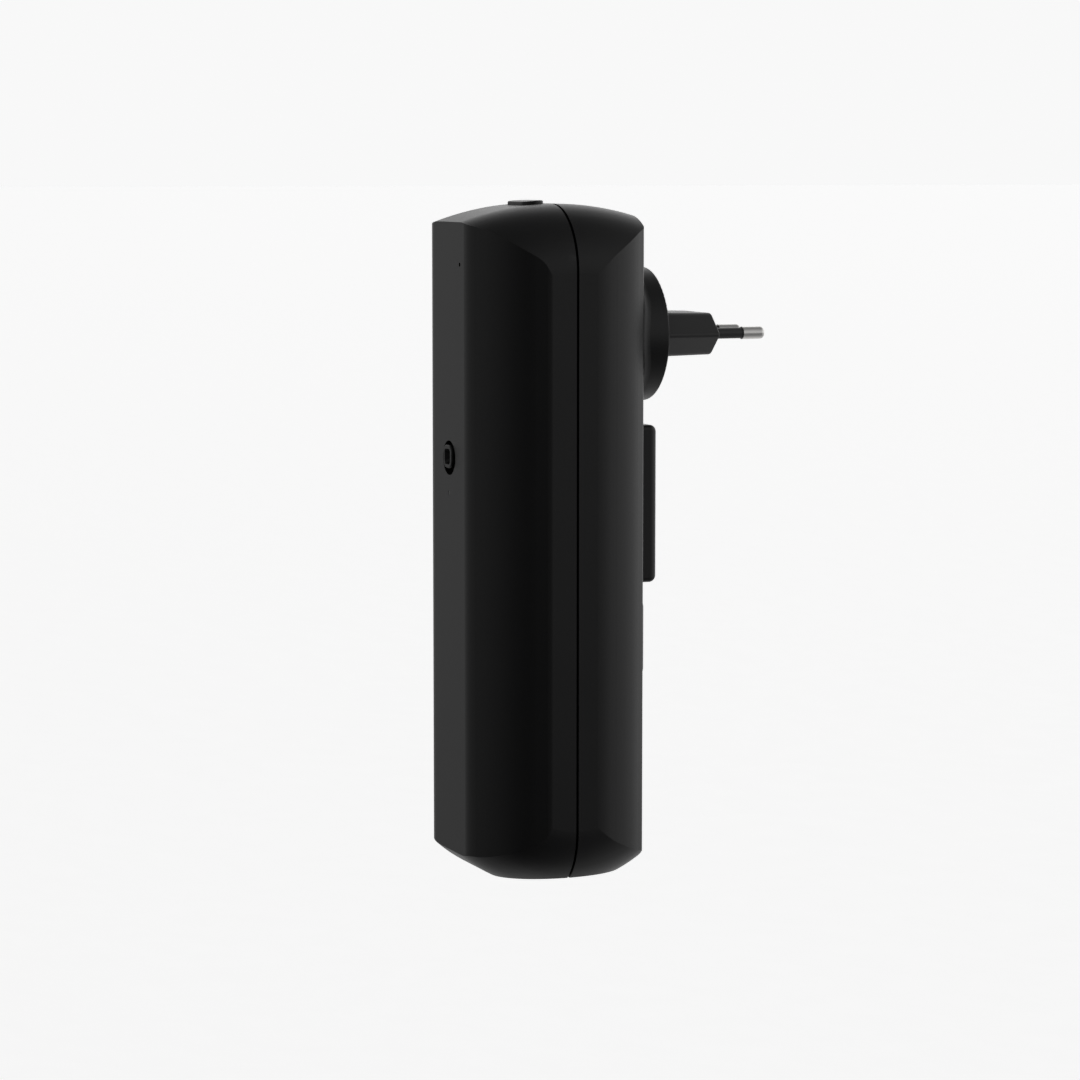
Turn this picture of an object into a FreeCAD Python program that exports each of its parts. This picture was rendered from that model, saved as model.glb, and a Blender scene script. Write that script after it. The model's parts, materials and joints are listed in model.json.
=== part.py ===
import FreeCAD, Part
import functools
import math
import os

# A tall mains plug-in unit with a camera, a microphone, a loudspeaker and a button on top.
# Millimetres. +Z is up, the camera looks towards -Y and the plug points towards +Y.
# The origin is the centre of the plug's engagement face, midway between its two pins.
# Inside this file a place is given as x, depth (from the front face) and up (from mid-height).

# Housing
HALF_WIDTH = 31.0
BODY_DEPTH = 56.7
TOP_UP = 103.6
BASE_UP = -106.4             # level foot under the rounded lower end
CROWN_DEPTH = 31.5           # axis of both crowned ends, seen from the side
TOP_CROWN_RADIUS = 92.0
BASE_CROWN_RADIUS = 47.3
BASE_CROWN_UP = -64.2
CORNER_RADIUS = 21.0         # rounded corners, seen from the front
FRONT_HALF_FLAT = 16.0
FRONT_BEVEL_X = 27.6         # the front bevels swell out to this corner, which is well rounded
FRONT_BEVEL_DEPTH = 7.9
FRONT_BEVEL_END = 21.5       # depth where the front bevels meet the sides
REAR_BEVEL_START = 40.3      # depth where the sides meet the rear bevels
REAR_BEVEL_X = 28.3
REAR_BEVEL_DEPTH = 49.4
REAR_HALF_FLAT = 22.1
FRONT_EDGE_RADIUS = 9.0
FRONT_BEVEL_RADIUS = 25.0
SIDE_EDGE_RADIUS = 6.0
REAR_SIDE_RADIUS = 20.0
REAR_BEVEL_RADIUS = 25.0
REAR_EDGE_RADIUS = 2.5
WALL = 2.4

# Joint between the front and the rear shell
SPLIT_DEPTH = 30.6
SEAM_GAP = 0.8
TONGUE_INSET = 1.4
TONGUE_CLEARANCE = 0.1
TONGUE_FRONT = 27.6
GASKET_THICKNESS = 0.6

# Plug and the round boss that carries it
PLUG_UP = 62.3
BOSS_RADIUS = 21.2
BOSS_RISE = 9.2
BOSS_WALL = 2.0
BOSS_FILLET = 3.8
BOSS_RIM_FILLET = 0.6
PLUG_LENGTH = 19.1
PLUG_END_WIDTH = 35.3
PLUG_END_HEIGHT = 13.2
PLUG_DRAFT = 0.4             # growth of each half size from the end face to the boss
PLUG_SIDE_CUT = 7.2          # run of the slanting end facets along X
PLUG_RIDGE_RADIUS = 1.2
PLUG_CORNER_RADIUS = 3.4
PIN_PITCH_ROOT = 18.6
PIN_PITCH_TIP = 17.5
PIN_LENGTH = 19.0
PIN_RADIUS = 2.0
PIN_BARE_LENGTH = 7.8
PIN_CORE_RADIUS = 1.15
PIN_TAIL_LENGTH = 9.0
PIN_TAIL_RADIUS = 1.0
PIN_RECESS_GAP = 0.5          # shallow round recess in the plug's end face at each pin
PIN_RECESS_DEPTH = 0.4
SLEEVE_RADIUS = 1.7
SLEEVE_ROOT = 6.0            # length of sleeve held inside the plug

# Screws
POST_RADIUS = 3.2
POST_X = 17.0
POST_UP = 85.8
POST_END = 36.0
SCREW_RADIUS = 1.1
SCREW_HEAD_RADIUS = 2.4
SCREW_HEAD_HEIGHT = 1.6
HEAD_SEAT_DEPTH = 48.0
STANDOFF_RADIUS = 2.4
SMALL_SCREW_RADIUS = 0.8     # clearance size; the shank is drawn at its core
SMALL_SHANK_RADIUS = 0.65
SMALL_HEAD_RADIUS = 1.7
SMALL_HEAD_HEIGHT = 1.2
SCREW_SHANK_RADIUS = 0.9
MAIN_SCREW_LENGTH = 6.0
POWER_SCREW_LENGTH = 7.0
RETAINER_SCREW_LENGTH = 5.0
SPEAKER_SCREW_LENGTH = 4.5
SWITCH_SCREW_LENGTH = 5.0

# Boards
BOARD_THICKNESS = 1.6
MAIN_BOARD_DEPTH = 16.0
MAIN_BOARD_WIDTH = 46.0
MAIN_BOARD_TOP = 80.0
MAIN_BOARD_BOTTOM = -78.0
MAIN_HOLE_X = 19.0
MAIN_HOLE_UP = 70.0
POWER_BOARD_DEPTH = 40.0
POWER_BOARD_WIDTH = 46.0
POWER_BOARD_TOP = 82.0
POWER_BOARD_BOTTOM = 22.0
POWER_HOLE_X = 19.5
POWER_HOLE_LOW = 26.0
POWER_HOLE_HIGH = 78.0

# Camera
CAMERA_UP = 25.1
RECESS_UP = 24.7
RECESS_RADIUS = 5.4
BARREL_SIZE = 7.3            # across the soft-cornered square front of the lens barrel
BARREL_CORNER = 2.5
BARREL_EDGE_RADIUS = 0.5
BARREL_PROUD = 0.65
BARREL_SHOULDER = 5.6
BARREL_NECK_RADIUS = 3.2
BARREL_END = 11.0
APERTURE_FRONT = 4.8
APERTURE_REAR = 3.6
APERTURE_CORNER = 1.1
APERTURE_DEPTH = 1.5
FRONT_LENS_RADIUS = 2.7
REAR_LENS_RADIUS = 2.4

# Status light and microphone
LIGHT_UP = 13.7
LIGHT_RADIUS = 0.8
MIC_X = 9.6
MIC_UP = 85.0
MIC_HOLE_RADIUS = 0.65
MIC_CAPSULE_RADIUS = 3.0
MIC_BOOT_RADIUS = 4.2

# Top button
BUTTON_DEPTH = 25.6
BUTTON_LENGTH = 18.0
BUTTON_WIDTH = 7.0
BUTTON_PROUD = 1.1
BUTTON_GAP = 0.3
BUTTON_TRAVEL = 0.5
BUTTON_EDGE_RADIUS = 0.45
FLANGE_TOP = 100.4
FLANGE_THICKNESS = 1.2
FLANGE_MARGIN = 0.8
STEM_RADIUS = 2.4
SWITCH_BOARD_TOP = 91.1
SWITCH_SIZE = 4.5
SWITCH_TOP = 94.6
SWITCH_STEM_TOP = 95.4
SWITCH_STEM_RADIUS = 1.5
SWITCH_STEM_CLEARANCE = 0.06
SWITCH_BOARD_SCREW_X = 13.0
SPRING_RADIUS = 4.0
SPRING_WIRE_RADIUS = 0.25
SPRING_TURNS = 5

# Loudspeaker and its raised grille on the back
SPEAKER_UP = -33.5
SPEAKER_HOLE_RADIUS = 11.5
GRILLE_WIDTH = 24.6
GRILLE_HEIGHT = 24.2
GRILLE_RISE = 4.5
GRILLE_CORNER = 2.5
GRILLE_EDGE_RADIUS = 0.8
GRILLE_WALL = 1.3
GRILLE_SLOT_HALF_WIDTH = 0.6
GRILLE_SLOT_PITCH = 2.8
SPEAKER_RADIUS = 14.0
SPEAKER_EAR_X = 17.6
SPEAKER_EAR_THICKNESS = 1.2
SPEAKER_POST_LENGTH = 4.0

# Wall spacer on the back
SPACER_UP = 9.0
SPACER_HALF_WIDTH = 12.3
SPACER_HEIGHT = 50.0
SPACER_EDGE_RADIUS = 2.5
PEG_RADIUS = 2.0
PEG_OFFSET = 15.0

REAR_WALL_INNER = BODY_DEPTH - WALL
SPEAKER_EAR_DEPTH = REAR_WALL_INNER - SPEAKER_POST_LENGTH - SPEAKER_EAR_THICKNESS
BOSS_FACE_DEPTH = BODY_DEPTH + BOSS_RISE
BOSS_INNER_DEPTH = BOSS_FACE_DEPTH - WALL
BOSS_CAVITY_RADIUS = BOSS_RADIUS - BOSS_WALL
PLUG_FACE_DEPTH = BOSS_FACE_DEPTH + PLUG_LENGTH
FRONT_Y = -PLUG_FACE_DEPTH
MIDDLE_Z = -PLUG_UP
TOP_CROWN_UP = TOP_UP - TOP_CROWN_RADIUS
FAR = 150.0

V = FreeCAD.Vector
X_AXIS = V(1, 0, 0)
Y_AXIS = V(0, 1, 0)
Z_AXIS = V(0, 0, 1)


# ---- Building blocks ----

def place(x, depth, up):
    return V(x, FRONT_Y + depth, MIDDLE_Z + up)


def outline(corners, radii):
    """Closed wire in the XY plane through the corners, each rounded with its own radius."""
    points = [V(x, y, 0) for x, y in corners]
    arcs = []
    for i, here in enumerate(points):
        to_last = (points[i - 1] - here).normalize()
        to_next = (points[(i + 1) % len(points)] - here).normalize()
        half_angle = to_last.getAngle(to_next) / 2
        trim = radii[i] / math.tan(half_angle)
        inward = (to_last + to_next).normalize()
        middle = here + inward * (radii[i] / math.sin(half_angle) - radii[i])
        arcs.append((here + to_last * trim, middle, here + to_next * trim))
    edges = []
    for i, (start, middle, end) in enumerate(arcs):
        if radii[i] > 0:
            edges.append(Part.Arc(start, middle, end).toShape())
        following = arcs[(i + 1) % len(arcs)][0]
        if end.distanceToPoint(following) > 1e-6:
            edges.append(Part.LineSegment(end, following).toShape())
    return Part.Wire(edges)


def upright(wire, x, depth, up):
    """Turn a wire from the XY plane to face the front, and move it to its place."""
    turned = wire.copy()
    turned.rotate(V(0, 0, 0), X_AXIS, 90)
    turned.translate(place(x, depth, up))
    return turned


def rectangle(width, height, radius):
    half_w = width / 2
    half_h = height / 2
    corners = [(-half_w, -half_h), (half_w, -half_h), (half_w, half_h), (-half_w, half_h)]
    return outline(corners, [radius] * 4)


def panel(width, height, thickness, radius, x, depth, up):
    """Plate facing the front, centred on x and up, that starts at the given depth."""
    face = Part.Face(upright(rectangle(width, height, radius), x, depth, up))
    return face.extrude(V(0, thickness, 0))


def shelf(width, length, thickness, radius, x, depth, up):
    """Level plate, centred on x and depth, that starts at the given height."""
    face = Part.Face(rectangle(width, length, radius))
    face.translate(place(x, depth, up))
    return face.extrude(V(0, 0, thickness))


def rod(radius, length, x, depth, up):
    return Part.makeCylinder(radius, length, place(x, depth, up), Y_AXIS)


def upright_rod(radius, length, x, depth, up):
    return Part.makeCylinder(radius, length, place(x, depth, up), Z_AXIS)


def spin(profile, x, up):
    """Turned part about a Y axis through x and up; the profile lists (radius, depth) corners."""
    points = [place(x + radius, depth, up) for radius, depth in profile]
    wire = Part.makePolygon(points + points[:1])
    return Part.Face(wire).revolve(place(x, 0, up), Y_AXIS, 360)


def slab(start, end):
    """Everything between two depths."""
    return Part.makeBox(2 * FAR, end - start, 4 * FAR, place(-FAR, start, -2 * FAR))


def tube(points, radius, bend):
    """Round wire along straight runs with a tangent arc at each inner point."""
    edges = []
    start = points[0]
    for last, here, following in zip(points, points[1:], points[2:]):
        to_last = (last - here).normalize()
        to_next = (following - here).normalize()
        half_angle = to_last.getAngle(to_next) / 2
        trim = bend / math.tan(half_angle)
        middle = here + (to_last + to_next).normalize() * (bend / math.sin(half_angle) - bend)
        edges.append(Part.LineSegment(start, here + to_last * trim).toShape())
        edges.append(Part.Arc(here + to_last * trim, middle, here + to_next * trim).toShape())
        start = here + to_next * trim
    edges.append(Part.LineSegment(start, points[-1]).toShape())
    circle = Part.Wire(Part.makeCircle(radius, points[0], points[1] - points[0]))
    return Part.Wire(edges).makePipeShell([circle], True, True)


def screw(radius, length, head_radius, head_height, x, depth, up, towards):
    """Pan-head screw whose head sits on the given depth; towards is the shank's Y direction."""
    seat = place(x, depth, up)
    direction = Y_AXIS * towards
    shank = Part.makeCylinder(radius, length, seat, direction)
    head = Part.makeCylinder(head_radius, head_height, seat, direction * -1)
    slot = Part.makeBox(2 * head_radius, head_height, 0.5)
    slot.translate(seat - direction * (head_height + 0.05) - V(head_radius, 0, 0.25))
    if towards > 0:
        slot.translate(V(0, -0.5, 0))
    else:
        slot.translate(V(0, 0.5 - head_height, 0))
    return shank.fuse(head).cut(slot)


# ---- Housing ----

def body_section(inset):
    """Plan section: front flat, front bevels, sides, rear bevels and rear flat."""
    right = [(FRONT_HALF_FLAT, 0), (FRONT_BEVEL_X, FRONT_BEVEL_DEPTH), (HALF_WIDTH, FRONT_BEVEL_END),
             (HALF_WIDTH, REAR_BEVEL_START), (REAR_BEVEL_X, REAR_BEVEL_DEPTH),
             (REAR_HALF_FLAT, BODY_DEPTH)]
    left = [(-x, depth) for x, depth in reversed(right)]
    radii = [FRONT_EDGE_RADIUS, FRONT_BEVEL_RADIUS, SIDE_EDGE_RADIUS,
             REAR_SIDE_RADIUS, REAR_BEVEL_RADIUS, REAR_EDGE_RADIUS]
    face = Part.Face(outline(right + left, radii + radii[::-1]))
    if inset > 0:
        face = face.makeOffset2D(-inset)
    face.translate(place(0, 0, -FAR))
    return face


def end_barrel(inset, crown_radius, axis_up, side):
    """Crowned end: rounded corners seen from the front, one arc seen from the side."""
    half = HALF_WIDTH - inset
    radius = crown_radius - inset
    corner = CORNER_RADIUS - inset
    wire = outline([(-half, 0), (half, 0), (half, radius), (-half, radius)], [0, 0, corner, corner])
    face = Part.Face(upright(wire, 0, CROWN_DEPTH, axis_up))
    if side < 0:
        face.rotate(place(0, CROWN_DEPTH, axis_up), X_AXIS, 180)
    return face.revolve(place(0, CROWN_DEPTH, axis_up), X_AXIS, 360)


@functools.lru_cache(maxsize=None)
def body_block(inset):
    """Solid of the whole housing, with every face moved in by the inset."""
    prism = body_section(inset).extrude(V(0, 0, 2 * FAR))
    half = HALF_WIDTH - inset
    height = TOP_CROWN_UP - BASE_CROWN_UP
    middle = Part.makeBox(2 * half, BODY_DEPTH, height, place(-half, 0, BASE_CROWN_UP))
    top = end_barrel(inset, TOP_CROWN_RADIUS, TOP_CROWN_UP, 1)
    base = end_barrel(inset, BASE_CROWN_RADIUS, BASE_CROWN_UP, -1)
    low = BASE_UP + inset
    above_foot = Part.makeBox(2 * FAR, 2 * FAR, FAR - low, place(-FAR, -FAR, low))
    return prism.common(middle.fuse([top, base])).common(above_foot).removeSplitter()


def hollow_slice(outer_inset, inner_inset, start, end):
    ring = body_block(outer_inset).cut(body_block(inner_inset))
    return ring.common(slab(start, end))


def corner_places():
    return [(x, up) for x in (-POST_X, POST_X) for up in (-POST_UP, POST_UP)]


def main_hole_places():
    return [(x, up) for x in (-MAIN_HOLE_X, MAIN_HOLE_X) for up in (-MAIN_HOLE_UP, MAIN_HOLE_UP)]


def power_hole_places():
    return [(x, up) for x in (-POWER_HOLE_X, POWER_HOLE_X) for up in (POWER_HOLE_LOW, POWER_HOLE_HIGH)]


def pill(length, width, height, up):
    """Upright block with a stadium plan, at the button's place."""
    return shelf(length, width, height, width / 2 - 0.001, 0, BUTTON_DEPTH, up)


def button_slot(up):
    return pill(BUTTON_LENGTH + 2 * BUTTON_GAP, BUTTON_WIDTH + 2 * BUTTON_GAP, TOP_UP, up)


def front_shell():
    shell = hollow_slice(0, WALL, -1, SPLIT_DEPTH - SEAM_GAP / 2)
    rebate_start = TONGUE_FRONT - GASKET_THICKNESS
    rebate = body_block(TONGUE_INSET - TONGUE_CLEARANCE).common(slab(rebate_start, SPLIT_DEPTH))
    shell = shell.cut(rebate)
    posts = [rod(POST_RADIUS, POST_END, x, 0, up) for x, up in corner_places()]
    posts += [rod(STANDOFF_RADIUS, MAIN_BOARD_DEPTH, x, 0, up) for x, up in main_hole_places()]
    for x in (-SWITCH_BOARD_SCREW_X, SWITCH_BOARD_SCREW_X):
        post = upright_rod(STANDOFF_RADIUS - 0.4, FAR / 5, x, BUTTON_DEPTH, SWITCH_BOARD_TOP)
        posts.append(post)
    clearance = body_block(TONGUE_INSET + WALL / 2)
    clearance = clearance.fuse(body_block(1.0).common(slab(0, rebate_start - 1)))
    posts = [post.common(clearance) for post in posts]
    shell = shell.fuse(posts)
    holes = [rod(SCREW_SHANK_RADIUS, POST_END, x, POST_END - 14, up) for x, up in corner_places()]
    holes += [rod(SMALL_SHANK_RADIUS, MAIN_SCREW_LENGTH, x, MAIN_BOARD_DEPTH - MAIN_SCREW_LENGTH, up)
              for x, up in main_hole_places()]
    for x in (-SWITCH_BOARD_SCREW_X, SWITCH_BOARD_SCREW_X):
        holes.append(upright_rod(SMALL_SHANK_RADIUS, SWITCH_SCREW_LENGTH, x, BUTTON_DEPTH,
                                 SWITCH_BOARD_TOP))
    holes.append(rod(RECESS_RADIUS, WALL + 2, 0, -1, RECESS_UP))
    holes.append(rod(LIGHT_RADIUS, WALL + 2, 0, -1, LIGHT_UP))
    holes.append(rod(MIC_HOLE_RADIUS, WALL + 2, MIC_X, -1, MIC_UP))
    holes.append(button_slot(FLANGE_TOP - 2))
    return shell.cut(holes)


def boss_base_edges(shape):
    """Edges where the boss's wall meets the back of the housing."""
    centre = place(0, 0, PLUG_UP)
    found = []
    for edge in shape.Edges:
        points = edge.discretize(5)
        radii = [math.hypot(point.x - centre.x, point.z - centre.z) for point in points]
        depths = [point.y - FRONT_Y for point in points]
        on_wall = max(abs(radius - BOSS_RADIUS) for radius in radii) < 0.01
        if on_wall and max(depths) < BOSS_FACE_DEPTH - 1 and min(depths) > REAR_BEVEL_START:
            found.append(edge)
    return found


def boss_rim_edges(shape):
    centre = place(0, BOSS_FACE_DEPTH, PLUG_UP)
    found = []
    for edge in shape.Edges:
        box = edge.BoundBox
        if abs(box.YMin - centre.y) < 0.01 and abs(box.YMax - centre.y) < 0.01:
            found.append(edge)
    return found


def outer_rear():
    """Outside of the rear half with its round boss blended into it."""
    half = body_block(0).common(slab(SPLIT_DEPTH + SEAM_GAP / 2, BODY_DEPTH + 1))
    boss = rod(BOSS_RADIUS, BOSS_RISE + 8, 0, BODY_DEPTH - 8, PLUG_UP)
    whole = half.fuse(boss).removeSplitter()
    whole = whole.makeFillet(BOSS_FILLET, boss_base_edges(whole))
    return whole.makeFillet(BOSS_RIM_FILLET, boss_rim_edges(whole))


def rear_shell():
    shell = outer_rear().cut(body_block(WALL))
    shell = shell.fuse(hollow_slice(TONGUE_INSET, WALL, TONGUE_FRONT, SPLIT_DEPTH + 2))
    columns = [rod(POST_RADIUS, FAR, x, POST_END, up) for x, up in corner_places()]
    columns += [rod(STANDOFF_RADIUS, FAR, x, POWER_BOARD_DEPTH + BOARD_THICKNESS, up)
                for x, up in power_hole_places()]
    columns += [rod(STANDOFF_RADIUS, FAR, x, REAR_WALL_INNER - SPEAKER_POST_LENGTH, SPEAKER_UP)
                for x in (-SPEAKER_EAR_X, SPEAKER_EAR_X)]
    columns = [column.common(body_block(1.0)) for column in columns]
    shell = shell.fuse(columns)
    cavity_depth = BOSS_INNER_DEPTH - REAR_WALL_INNER + 1
    shell = shell.cut(rod(BOSS_CAVITY_RADIUS, cavity_depth, 0, REAR_WALL_INNER - 1, PLUG_UP))
    retainer_seat = RETAINER_DEPTH + RETAINER_THICKNESS
    shell = shell.fuse([rod(STANDOFF_RADIUS, WALL + 1, x, retainer_seat, PLUG_UP + up)
                        for x, up in retainer_places()])
    holes = [plug_block()]
    for x, up in corner_places():
        holes.append(rod(SCREW_RADIUS + 0.3, FAR, x, POST_END - 1, up))
        holes.append(rod(SCREW_HEAD_RADIUS + 0.5, FAR, x, HEAD_SEAT_DEPTH, up))
    for x, up in power_hole_places():
        holes.append(rod(SMALL_SHANK_RADIUS, POWER_SCREW_LENGTH + 0.5, x, POWER_BOARD_DEPTH, up))
    for x, up in retainer_places():
        holes.append(rod(SMALL_SHANK_RADIUS, RETAINER_SCREW_LENGTH + 0.2, x, RETAINER_DEPTH,
                         PLUG_UP + up))
    for x in (-SPEAKER_EAR_X, SPEAKER_EAR_X):
        holes.append(rod(SMALL_SHANK_RADIUS, SPEAKER_SCREW_LENGTH + 0.2, x, SPEAKER_EAR_DEPTH,
                         SPEAKER_UP))
    holes.append(button_slot(FLANGE_TOP - 2))
    holes.append(rod(SPEAKER_HOLE_RADIUS, FAR, 0, REAR_WALL_INNER - 1, SPEAKER_UP))
    for offset in (-PEG_OFFSET, PEG_OFFSET):
        holes.append(rod(PEG_RADIUS, FAR, 0, REAR_WALL_INNER - 1, SPACER_UP + offset))
    return shell.cut(holes)


def seam_gasket():
    ring = hollow_slice(TONGUE_INSET, WALL, TONGUE_FRONT - GASKET_THICKNESS, TONGUE_FRONT)
    return ring.cut(button_slot(FLANGE_TOP - 2))


def housing_screws():
    length = HEAD_SEAT_DEPTH - POST_END + 10
    return [screw(SCREW_SHANK_RADIUS, length, SCREW_HEAD_RADIUS, SCREW_HEAD_HEIGHT,
                  x, HEAD_SEAT_DEPTH, up, -1) for x, up in corner_places()]


# ---- Camera, status light and microphone ----

def camera_bezel():
    """Black cup behind the front wall that closes the gap round the barrel."""
    outer = RECESS_RADIUS + 2.6
    cup = spin([(0, WALL), (outer, WALL), (outer, WALL + 1.2), (RECESS_RADIUS, WALL + 1.2),
                (RECESS_RADIUS, WALL + 2.4), (0, WALL + 2.4)], 0, CAMERA_UP)
    opening = BARREL_SIZE + 0.04
    return cup.cut(panel(opening, opening, 3, BARREL_CORNER, 0, WALL - 0.1, CAMERA_UP))


def camera_barrel():
    """Lens barrel with a raised soft-cornered front and a square aperture."""
    length = BARREL_SHOULDER + BARREL_PROUD
    head = panel(BARREL_SIZE, BARREL_SIZE, length, BARREL_CORNER, 0, -BARREL_PROUD, CAMERA_UP)
    front_edges = [edge for edge in head.Edges if edge.BoundBox.YMax < FRONT_Y - BARREL_PROUD + 0.01]
    head = head.makeFillet(BARREL_EDGE_RADIUS, front_edges)
    neck = rod(BARREL_NECK_RADIUS, BARREL_END - BARREL_SHOULDER, 0, BARREL_SHOULDER, CAMERA_UP)
    barrel = head.fuse(neck)
    seat = APERTURE_DEPTH - BARREL_PROUD
    wide = rectangle(APERTURE_FRONT, APERTURE_FRONT, APERTURE_CORNER)
    narrow = rectangle(APERTURE_REAR, APERTURE_REAR, APERTURE_CORNER)
    funnel = Part.makeLoft([upright(wide, 0, -BARREL_PROUD, CAMERA_UP),
                            upright(narrow, 0, seat, CAMERA_UP)], True, True)
    bore = spin([(0, seat), (FRONT_LENS_RADIUS, seat), (FRONT_LENS_RADIUS, 6), (REAR_LENS_RADIUS, 6),
                 (REAR_LENS_RADIUS, BARREL_END), (0, BARREL_END)], 0, CAMERA_UP)
    return barrel.cut([funnel, bore])


def domed_lens(radius, start, thickness, bulge):
    """Round lens with a spherical front face."""
    ball_radius = (radius * radius + bulge * bulge) / (2 * bulge)
    disc = rod(radius, thickness + bulge, 0, start - bulge, CAMERA_UP)
    ball = Part.makeSphere(ball_radius, place(0, start - bulge + ball_radius, CAMERA_UP))
    return disc.common(ball.fuse(rod(radius, thickness, 0, start, CAMERA_UP)))


def front_lens():
    return domed_lens(FRONT_LENS_RADIUS, 2.0, 1.8, 0.6)


def rear_lens():
    return domed_lens(REAR_LENS_RADIUS, 7.2, 1.4, 0.5)


def lens_spacer():
    start = 4.1
    length = 2.6
    ring = rod(REAR_LENS_RADIUS, length, 0, start, CAMERA_UP)
    return ring.cut(rod(REAR_LENS_RADIUS - 0.7, length, 0, start, CAMERA_UP))


def camera_holder():
    """Square block that grips the barrel over the image sensor."""
    start = WALL + 3.4
    block = panel(13, 13, 14.0 - start, 1.0, 0, start, CAMERA_UP)
    block = block.cut(rod(BARREL_NECK_RADIUS, 14.0 - start, 0, start, CAMERA_UP))
    return block.cut(panel(9, 9, 2.2, 0.5, 0, 11.8, CAMERA_UP))


def image_sensor():
    return panel(6.4, 6.0, 0.9, 0.2, 0, 13.1, CAMERA_UP)


def camera_board():
    return panel(16, 17, 1.0, 1.0, 0, 14.0, CAMERA_UP)


def camera_connector():
    return panel(9, 2.6, 1.0, 0.2, 0, 15.0, CAMERA_UP + 4)


def light_pipe():
    head_radius = LIGHT_RADIUS + 0.9
    return spin([(0, 0.05), (LIGHT_RADIUS - 0.02, 0.05), (LIGHT_RADIUS - 0.02, WALL), (head_radius, WALL),
                 (head_radius, WALL + 1.4), (LIGHT_RADIUS, WALL + 1.4), (LIGHT_RADIUS, 14.9), (0, 14.9)],
                0, LIGHT_UP)


def status_light():
    return panel(2.0, 1.4, 0.8, 0.1, 0, MAIN_BOARD_DEPTH - 0.8, LIGHT_UP)


def microphone_boot():
    """Rubber cup that seals the capsule to the hole in the front wall."""
    return spin([(MIC_HOLE_RADIUS + 0.2, WALL), (MIC_BOOT_RADIUS, WALL), (MIC_BOOT_RADIUS, WALL + 4.2),
                 (MIC_CAPSULE_RADIUS, WALL + 4.2), (MIC_CAPSULE_RADIUS, WALL + 1.2),
                 (MIC_HOLE_RADIUS + 0.2, WALL + 1.2)], MIC_X, MIC_UP)


def microphone():
    start = WALL + 1.2
    capsule = rod(MIC_CAPSULE_RADIUS, 2.7, MIC_X, start, MIC_UP)
    return capsule.cut(rod(MIC_HOLE_RADIUS, 0.6, MIC_X, start, MIC_UP))


def microphone_lead():
    start = WALL + 3.9
    low = MAIN_BOARD_TOP - 4
    return tube([place(MIC_X, start, MIC_UP), place(MIC_X, start + 4, MIC_UP),
                 place(MIC_X, MAIN_BOARD_DEPTH - 5, low), place(MIC_X, MAIN_BOARD_DEPTH, low)], 0.7, 1.6)


# ---- Top button ----

def top_button():
    cap = pill(BUTTON_LENGTH, BUTTON_WIDTH, 8, FLANGE_TOP)
    cap = cap.common(crown_above(BUTTON_PROUD))
    top_edges = [edge for edge in cap.Edges if edge.BoundBox.ZMin > MIDDLE_Z + FLANGE_TOP + 1.5]
    cap = cap.makeFillet(BUTTON_EDGE_RADIUS, top_edges)
    flange_up = FLANGE_TOP - FLANGE_THICKNESS
    flange_length = BUTTON_LENGTH + 2 * FLANGE_MARGIN
    flange_width = BUTTON_WIDTH + 2 * FLANGE_MARGIN
    flange = pill(flange_length, flange_width, FLANGE_THICKNESS, flange_up)
    stem = upright_rod(STEM_RADIUS, flange_up - SWITCH_STEM_TOP, 0, BUTTON_DEPTH, SWITCH_STEM_TOP)
    return cap.fuse([flange, stem]).removeSplitter()


def crown_above(rise):
    """Cylinder that follows the crown of the top, standing above it by the rise."""
    start = place(-HALF_WIDTH, CROWN_DEPTH, TOP_CROWN_UP)
    return Part.makeCylinder(TOP_CROWN_RADIUS + rise, 2 * HALF_WIDTH, start, X_AXIS)


def button_spring():
    """Coil spring that stands on the switch board and lifts the button's flange."""
    low = SWITCH_BOARD_TOP + SPRING_WIRE_RADIUS + 0.02
    high = FLANGE_TOP - FLANGE_THICKNESS - SPRING_WIRE_RADIUS - 0.02
    height = high - low
    path = Part.makeHelix(height / SPRING_TURNS, height, SPRING_RADIUS)
    profile = Part.Wire(Part.makeCircle(SPRING_WIRE_RADIUS, V(SPRING_RADIUS, 0, 0), Y_AXIS))
    coil = Part.Wire(path.Edges).makePipeShell([profile], True, True)
    coil.translate(place(0, BUTTON_DEPTH, low))
    return coil


def switch_board():
    board = shelf(32, 11, BOARD_THICKNESS, 1.5, 0, BUTTON_DEPTH, SWITCH_BOARD_TOP - BOARD_THICKNESS)
    low = SWITCH_BOARD_TOP - BOARD_THICKNESS
    return board.cut([upright_rod(SMALL_SCREW_RADIUS + 0.1, BOARD_THICKNESS, x, BUTTON_DEPTH, low)
                      for x in (-SWITCH_BOARD_SCREW_X, SWITCH_BOARD_SCREW_X)])


def switch_board_screws():
    screws = []
    for x in (-SWITCH_BOARD_SCREW_X, SWITCH_BOARD_SCREW_X):
        seat = SWITCH_BOARD_TOP - BOARD_THICKNESS
        shank = upright_rod(SMALL_SHANK_RADIUS, SWITCH_SCREW_LENGTH, x, BUTTON_DEPTH, seat)
        head = upright_rod(SMALL_HEAD_RADIUS, SMALL_HEAD_HEIGHT, x, BUTTON_DEPTH,
                           seat - SMALL_HEAD_HEIGHT)
        screws.append(shank.fuse(head))
    return screws


def touch_switch():
    height = SWITCH_TOP - SWITCH_BOARD_TOP
    body = shelf(SWITCH_SIZE, SWITCH_SIZE, height, 0.3, 0, BUTTON_DEPTH, SWITCH_BOARD_TOP)
    bore = SWITCH_STEM_RADIUS + SWITCH_STEM_CLEARANCE
    return body.cut(upright_rod(bore, height - 0.8, 0, BUTTON_DEPTH, SWITCH_BOARD_TOP + 0.8))


def switch_plunger():
    low = SWITCH_TOP - 1.6
    return upright_rod(SWITCH_STEM_RADIUS, SWITCH_STEM_TOP - low, 0, BUTTON_DEPTH, low)


# ---- Main board ----

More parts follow.
